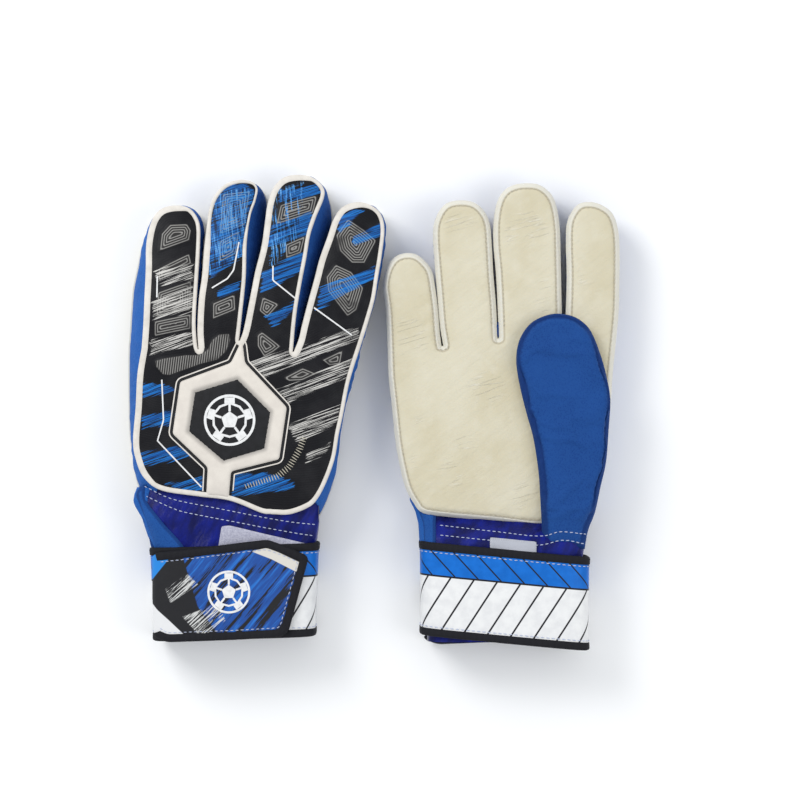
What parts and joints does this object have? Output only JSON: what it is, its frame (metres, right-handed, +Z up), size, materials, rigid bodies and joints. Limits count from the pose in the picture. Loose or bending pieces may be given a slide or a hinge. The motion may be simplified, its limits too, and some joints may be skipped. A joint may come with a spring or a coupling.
{
  "type": "goalkeeper gloves",
  "caption": "Pair of padded goalkeeper gloves with latex palms, printed backs, satin cuffs and wrap-over wrist straps, laid side by side.",
  "frame": {"origin": "middle of the pair's footprint, on the surface that the gloves lie on", "axes": "+Z up, +Y towards the finger tips, +X from the left-hand glove to the right-hand glove"},
  "size_m": [0.2894, 0.277, 0.0406],
  "materials": {
    "latex_foam": "matt cream foamed latex, finely pebbled",
    "backhand_print": "black embossed foam with printed white and blue lines, satin",
    "badge_print": "black printed film with a plain white ball mark",
    "stretch_jersey": "knitted royal blue jersey",
    "satin": "shiny royal blue satin",
    "cream_piping": "cream moulded piping",
    "strap_print": "blue and white printed strap with black slanted lines",
    "tab_print": "black printed tab with blue streaks and white corners",
    "black_edging": "black folded binding tape",
    "loop_pile": "lavender grey brushed loop pile",
    "label_weave": "pale woven tape",
    "hook_tape": "black moulded hook tape"
  },
  "bodies": {
    "left_hand": {"left_palm": "latex_foam", "left_back_panel": "backhand_print", "left_side_gussets": "stretch_jersey", "left_fourchettes": "stretch_jersey", "left_back_frame": "cream_piping", "left_back_badge": "badge_print", "left_thumb_gore": "stretch_jersey", "left_wrist_gaiter": "satin", "left_strap_band": "strap_print", "left_strap_edging": "black_edging", "left_loop_patch": "loop_pile", "left_size_label": "label_weave"},
    "left_thumb": {"left_thumb_front": "latex_foam", "left_thumb_back": "stretch_jersey"},
    "left_tab": {"left_strap_tab": "tab_print", "left_tab_edging": "black_edging", "left_hook_patch": "hook_tape"},
    "left_little": {"left_little_front": "latex_foam", "left_little_back": "backhand_print", "left_little_gusset": "stretch_jersey"},
    "left_ring": {"left_ring_front": "latex_foam", "left_ring_back": "backhand_print", "left_ring_gusset": "stretch_jersey"},
    "left_middle": {"left_middle_front": "latex_foam", "left_middle_back": "backhand_print", "left_middle_gusset": "stretch_jersey"},
    "left_index": {"left_index_front": "latex_foam", "left_index_back": "backhand_print", "left_index_gusset": "stretch_jersey"},
    "right_hand": {"right_palm": "latex_foam", "right_back_panel": "backhand_print", "right_side_gussets": "stretch_jersey", "right_fourchettes": "stretch_jersey", "right_back_frame": "cream_piping", "right_back_badge": "badge_print", "right_thumb_gore": "stretch_jersey", "right_wrist_gaiter": "satin", "right_strap_band": "strap_print", "right_strap_edging": "black_edging", "right_loop_patch": "loop_pile", "right_size_label": "label_weave"},
    "right_thumb": {"right_thumb_front": "latex_foam", "right_thumb_back": "stretch_jersey"},
    "right_tab": {"right_strap_tab": "tab_print", "right_tab_edging": "black_edging", "right_hook_patch": "hook_tape"},
    "right_little": {"right_little_front": "latex_foam", "right_little_back": "backhand_print", "right_little_gusset": "stretch_jersey"},
    "right_ring": {"right_ring_front": "latex_foam", "right_ring_back": "backhand_print", "right_ring_gusset": "stretch_jersey"},
    "right_middle": {"right_middle_front": "latex_foam", "right_middle_back": "backhand_print", "right_middle_gusset": "stretch_jersey"},
    "right_index": {"right_index_front": "latex_foam", "right_index_back": "backhand_print", "right_index_gusset": "stretch_jersey"}
  },
  "joints": [
    {"name": "left_little_bend", "type": "hinge", "parent": "left_hand", "child": "left_little", "pos_m": [-0.1225, 0.0585, 0.0123], "axis": [-0.9919, 0.1271, 0], "range_deg": [0, 85], "stiffness_Nm_per_rad": 0.05},
    {"name": "left_ring_bend", "type": "hinge", "parent": "left_hand", "child": "left_ring", "pos_m": [-0.0864, 0.0585, 0.0123], "axis": [-0.9966, 0.0819, 0], "range_deg": [0, 85], "stiffness_Nm_per_rad": 0.05},
    {"name": "left_middle_bend", "type": "hinge", "parent": "left_hand", "child": "left_middle", "pos_m": [-0.055, 0.0585, 0.0123], "axis": [-0.9866, 0.1633, 0], "range_deg": [0, 85], "stiffness_Nm_per_rad": 0.05},
    {"name": "left_index_bend", "type": "hinge", "parent": "left_hand", "child": "left_index", "pos_m": [-0.0174, 0.0585, 0.0123], "axis": [-0.9877, 0.1564, 0], "range_deg": [0, 85], "stiffness_Nm_per_rad": 0.05},
    {"name": "left_thumb_open", "type": "hinge", "parent": "left_hand", "child": "left_thumb", "pos_m": [-0.0272, -0.0645, 0.0123], "axis": [-0.1891, -0.982, 0], "range_deg": [0, 95]},
    {"name": "left_tab_peel", "type": "hinge", "parent": "left_hand", "child": "left_tab", "pos_m": [-0.1304, -0.107, 0.03645], "axis": [0, -1, 0], "range_deg": [0, 160]},
    {"name": "right_little_bend", "type": "hinge", "parent": "right_hand", "child": "right_little", "pos_m": [0.0216, 0.0585, 0.0283], "axis": [0.9962, 0.0872, 0], "range_deg": [0, 85], "stiffness_Nm_per_rad": 0.05},
    {"name": "right_ring_bend", "type": "hinge", "parent": "right_hand", "child": "right_ring", "pos_m": [0.0545, 0.0585, 0.0283], "axis": [0.9988, 0.0489, 0], "range_deg": [0, 85], "stiffness_Nm_per_rad": 0.05},
    {"name": "right_middle_bend", "type": "hinge", "parent": "right_hand", "child": "right_middle", "pos_m": [0.092, 0.0585, 0.0283], "axis": [0.9991, 0.0419, 0], "range_deg": [0, 85], "stiffness_Nm_per_rad": 0.05},
    {"name": "right_index_bend", "type": "hinge", "parent": "right_hand", "child": "right_index", "pos_m": [0.1286, 0.0585, 0.0283], "axis": [0.9997, 0.0262, 0], "range_deg": [0, 85], "stiffness_Nm_per_rad": 0.05},
    {"name": "right_thumb_open", "type": "hinge", "parent": "right_hand", "child": "right_thumb", "pos_m": [0.1352, -0.0605, 0.0283], "axis": [0.0976, 0.9952, 0], "range_deg": [0, 150]},
    {"name": "right_tab_peel", "type": "hinge", "parent": "right_hand", "child": "right_tab", "pos_m": [0.028, -0.1115, 0.00415], "axis": [0, 1, 0], "range_deg": [0, 160]},
    {"name": "gloves_apart", "type": "slide", "parent": "left_hand", "child": "right_hand", "axis": [1, 0, 0], "range_m": [0, 0.15]}
  ]
}
